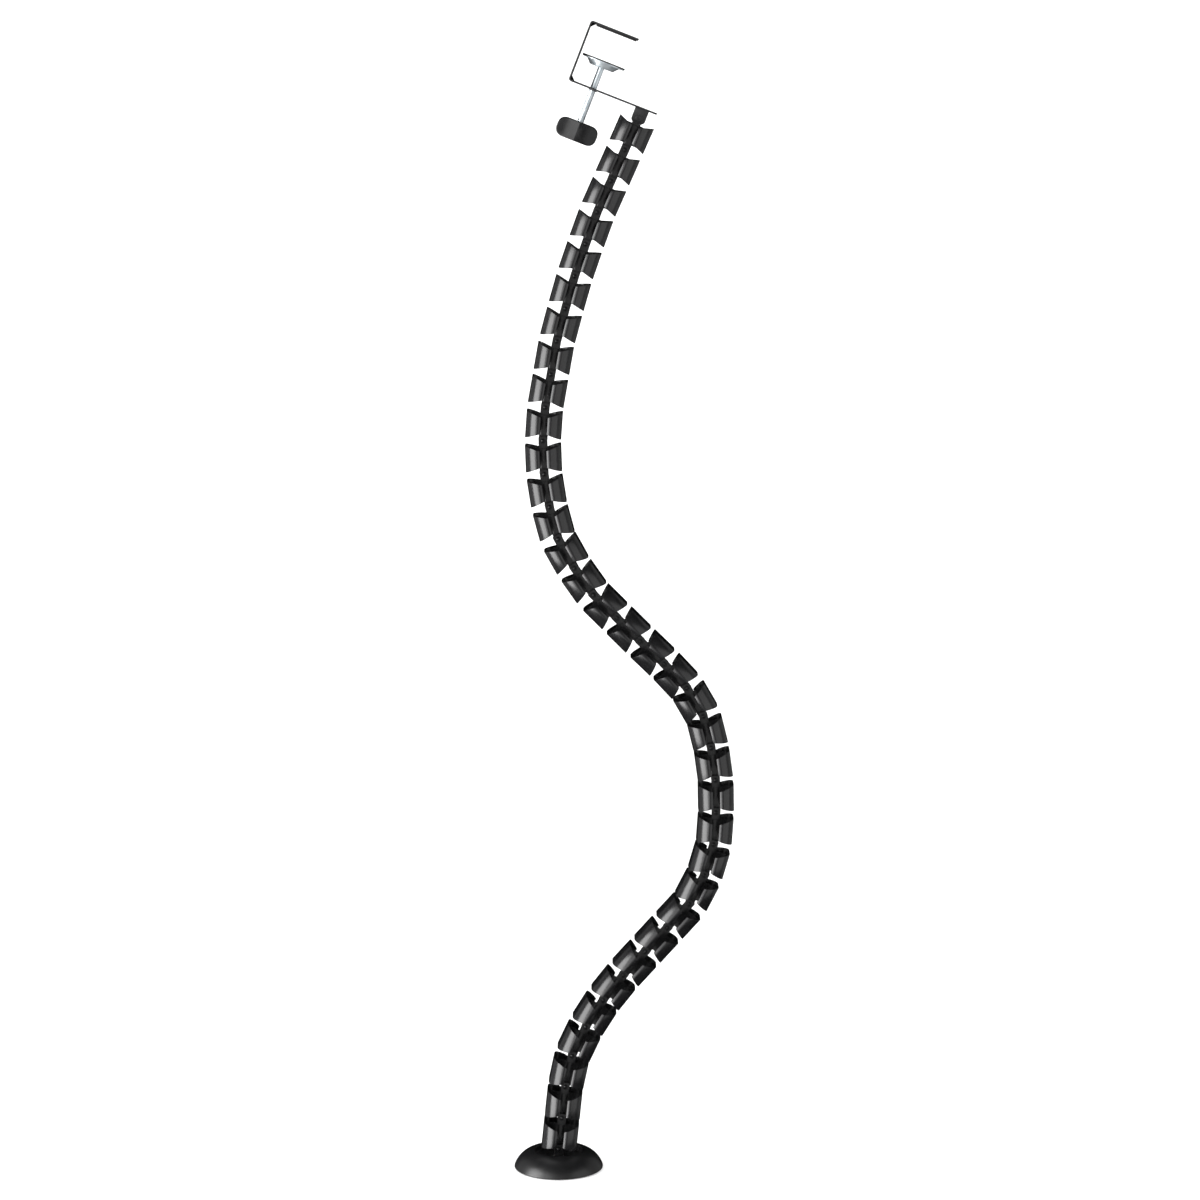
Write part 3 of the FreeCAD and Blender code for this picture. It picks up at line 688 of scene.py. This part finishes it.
def makeRivet():
    # the rivet's head is a low dome with a dimple in its middle, and its tail is a flat button at the rear
    rivet, sunk = clamp["rivet"], -clamp["rivetSunk"]
    dimple, dimpleRound = clamp["dimple"], clamp["dimpleRound"]
    head = np.concatenate([
        [(0, sunk), (rivet, sunk)],
        roundCurve(rivet - clamp["rivetRound"], clamp["rivetSide"], clamp["rivetRound"], 0, 80, 6),
        roundCurve(dimple, clamp["rivetThick"] - dimpleRound, dimpleRound, 90, 180, 5),
        [(clamp["dimpleFoot"], clamp["dimpleSide"]), (0, clamp["dimpleFloor"])],
    ])
    tail, low, high = clamp["tail"], -clamp["tailSunk"], clamp["tailThick"]
    button = np.array([(0, low), (tail, low), (tail, clamp["tailSide"]),
                       (tail - clamp["tailSlope"], high), (0, high)])
    parts = [facingFront(turned(head, 40), (0, clampFront, 0)), moved(turned(button, 32), order=(0, 2, 1))]
    makeClampPiece("pivot_pin", parts, coatedSteel, "bracket", ["pivot_rivet"])


def makeScrew():
    # a bright bar with a fine rolled thread: broad round crests, and once a pitch a shallow furrow, which
    # moves up one pitch a turn; the top end is chamfered
    stepsPerPitch, furrowSharpness = 8, 6
    heights = np.arange(clamp["rodLow"], clamp["rodTop"], clamp["thread"] / stepsPerPitch)[:, None]
    angles = wholeTurn(36)
    phase = (heights / clamp["thread"] - angles / (2 * np.pi)) % 1
    radius = clamp["rod"] - clamp["threadDepth"] * np.abs(2 * phase - 1) ** furrowSharpness
    toTop = np.clip((clamp["rodTop"] - heights) / clamp["chamferHeight"], 0, 1)
    radius = np.minimum(radius, clamp["rod"] - clamp["chamfer"] * (1 - toTop))
    grid = np.stack([radius * np.cos(angles), radius * np.sin(angles), heights + 0 * angles], -1) + toRod
    bar = surface(grid, wrapColumns=True, caps=True)
    makeClampPiece("screw_bar", [bar], brightSteel, "screw", ["clamp_rod"], 60)


def makeDish():
    low, socket = clamp["dishLow"], clamp["rod"] + clamp["socketGap"]
    socketTop, neckRound, browRound = low + clamp["socket"], clamp["neckRound"], clamp["browRound"]
    flange = discProfile(clamp["flange"], flangeLow, flangeTop, clamp["flangeEdge"], clamp["flangeEdge"])
    profile = np.concatenate([
        [(0, socketTop), (socket, socketTop), (socket, low)],
        roundCurve(clamp["dishNeck"] - neckRound, low + neckRound, neckRound, -90, -20, 7),
        roundCurve(clamp["dishBrow"] + clamp["browAway"], flangeLow - browRound, browRound, 160, 90, 6),
        flange[1:],
    ])
    dish = moved(turned(profile, 96), by=toRod)
    makeClampPiece("dish_steel", [dish], brightSteel, "pad", ["pressure_dish"])


def makeDishRubber():
    top, edge = flangeTop + clamp["rubberThick"], clamp["rubberEdge"]
    disc = turned(discProfile(clamp["rubber"], flangeTop, top, edge, edge), 96)
    makeClampPiece("dish_rubber", [moved(disc, by=toRod)], footRubber, "pad", ["dish_pad"])


def makeKnob():
    # seen from the front the wing is a rounded rectangle; its faces hollow out from a crease in the middle,
    # so that half its thickness at x is end + (middle - end) * (1 - |x| / half) ** hollow; the grid runs
    # round the rectangle and in towards its centre
    half, tall, rim = clamp["knobHalf"], clamp["knobHeight"] / 2, clamp["knobRim"]
    outline = roundCorners(rectangle(-half, half, -tall, tall), clamp["knobCorner"], 14)
    creaseEnds = [(0.0, -tall), (0.0, tall)]
    outline = np.concatenate([outline, creaseEnds])
    outline = outline[np.argsort(np.arctan2(outline[:, 1] / tall, outline[:, 0] / half))]
    innerShares = (0.97, 0.85, 0.7, 0.55, 0.4, 0.27, 0.15, 0.06, 0.0)

    def thickness(across):
        gain = (1 - np.clip(np.abs(across) / half, 0, 1)) ** clamp["knobHollow"]
        return clamp["knobEnd"] + (clamp["knobMiddle"] - clamp["knobEnd"]) * gain

    rings = []
    for side in (-1, 1):
        edge = []
        for turn in turnsBetween(0, 90, 10)[::side]:
            flat = inset(outline, rim * (1 - math.cos(turn)))
            deep = side * (thickness(outline[:, 0]) - rim * (1 - math.sin(turn)))
            edge.append(np.column_stack([flat[:, 0], deep, flat[:, 1]]))
        face = []
        for share in innerShares:
            flat = inset(outline, rim) * share
            face.append(np.column_stack([flat[:, 0], side * thickness(flat[:, 0]), flat[:, 1]]))
        rings += edge + face if side > 0 else face[::-1] + edge
    grid = np.array(rings) + toRod + np.array([0, 0, clamp["knobTop"] - tall])
    makeClampPiece("knob_wing", [surface(grid, wrapColumns=True)], linkPlastic, "screw", ["wing_knob"], 14)


makeBracket()
makeJawSheet()
makeRivet()
makeScrew()
makeDish()
makeDishRubber()
makeKnob()
for name, material in (("base_weight", cutSteel), ("anchor_screws", brightSteel)):
    frame["nodes"][name].data.materials.clear()
    frame["nodes"][name].data.materials.append(material)
print("clamp ready")

# Floor, light and camera.

studio = {
    # turns are degrees; focal and picture are pixels, and the sensor is millimetres
    "cameraAt": (0.0458, -3.5976, 1.1724), "cameraTurn": 81.524,
    "focal": 3360.0, "picture": 1200, "sensor": 36,
    "floorHalf": 6.0, "flatTo": 2.6, "sweep": 1.6, "wallTop": 5.0, "aim": 0.8, "paperGlow": 0.25, "sight": 60,
    # azimuth, distance, height, width and height of the box, and glow
    "softboxes": {
        "key": (-67, 3.2, 0.6, (2.2, 4.2), 8.0),
        "left fill": (-31, 3.4, 0.6, (1.9, 4.2), 2.2),
        "left rear": (-116, 3.2, 0.6, (2.6, 4.2), 0.3),
        "front fill": (6, 4.4, 0.6, (2.2, 4.8), 0.6),
        "right fill": (62, 3.2, 0.6, (3.4, 4.2), 1.0),
        "right rear": (120, 3.2, 0.6, (2.8, 4.2), 0.3),
        "top": (180, 0.9, 3.4, (2.4, 2.0), 0.8),
    },
}


def makeFloor():
    # the paper lies flat, turns up behind the spine in a quarter circle, and goes on as a wall
    turns, sweep, half = turnsBetween(-90, 0, 25), studio["sweep"], studio["floorHalf"]
    bow = np.column_stack([studio["flatTo"] + sweep * np.cos(turns), sweep * (1 + np.sin(turns))])
    line = np.concatenate([[(-half, 0)], bow, [(bow[-1, 0], studio["wallTop"])]])
    sides = np.array([-half, half])
    grid = np.stack([sides[None, :] + 0 * line[:, :1], line[:, :1] + 0 * sides, line[:, 1:] + 0 * sides], -1)
    floor = bpy.data.objects.new("floor", makeMesh("floor", [surface(grid)]))
    bpy.context.scene.collection.objects.link(floor)
    # white paper that glows a little, as if lit from behind
    paper, shader = startMaterial("white studio paper", {
        "Base Color": colour("e8e8e8"), "Roughness": 0.9, "Specular IOR Level": 0.0,
        "Emission Color": colour("ffffff"), "Emission Strength": studio["paperGlow"]})
    floor.data.materials.append(paper)
    # the spine's glossy sides mirror the softboxes and a dark room, not the white paper or the white world
    floor.visible_glossy = False
    # the softboxes reach below the floor, where the low links and the base mirror them, so it casts no shadow
    floor.visible_shadow = False


def makeWorld():
    world = bpy.data.worlds.new("studio")
    bpy.context.scene.world = world
    world.use_nodes = True
    background = world.node_tree.nodes["Background"]
    background.inputs["Color"].default_value = colour("ffffff")
    background.inputs["Strength"].default_value = 1.0
    world.cycles_visibility.glossy = False


def addLight(name, azimuth, away, height, size, glow):
    # a softbox on a circle about the spine, azimuth degrees to the right of the camera's side, that faces it;
    # its power is its glow times its area times pi
    turn = math.radians(azimuth)
    place = Vector((away * math.sin(turn), -away * math.cos(turn), height))
    data = bpy.data.lights.new(name, "AREA")
    data.shape = "RECTANGLE"
    data.size, data.size_y = size
    data.energy = glow * size[0] * size[1] * math.pi
    light = bpy.data.objects.new(name, data)
    light.location = place
    light.rotation_euler = (Vector((0, 0, studio["aim"])) - place).to_track_quat("-Z", "Y").to_euler()
    bpy.context.scene.collection.objects.link(light)


def makeCamera():
    camera = bpy.data.objects.new("camera", bpy.data.cameras.new("camera"))
    camera.data.sensor_width = studio["sensor"]
    camera.data.lens = studio["focal"] / studio["picture"] * camera.data.sensor_width
    camera.location = studio["cameraAt"]
    camera.rotation_euler = (math.radians(studio["cameraTurn"]), 0, 0)
    camera.data.clip_end = studio["sight"]
    bpy.context.scene.collection.objects.link(camera)
    bpy.context.scene.camera = camera
    bpy.context.scene.view_settings.view_transform = "Standard"


makeFloor()
makeWorld()
for name, settings in studio["softboxes"].items():
    addLight(name, *settings)
makeCamera()
print("studio ready")
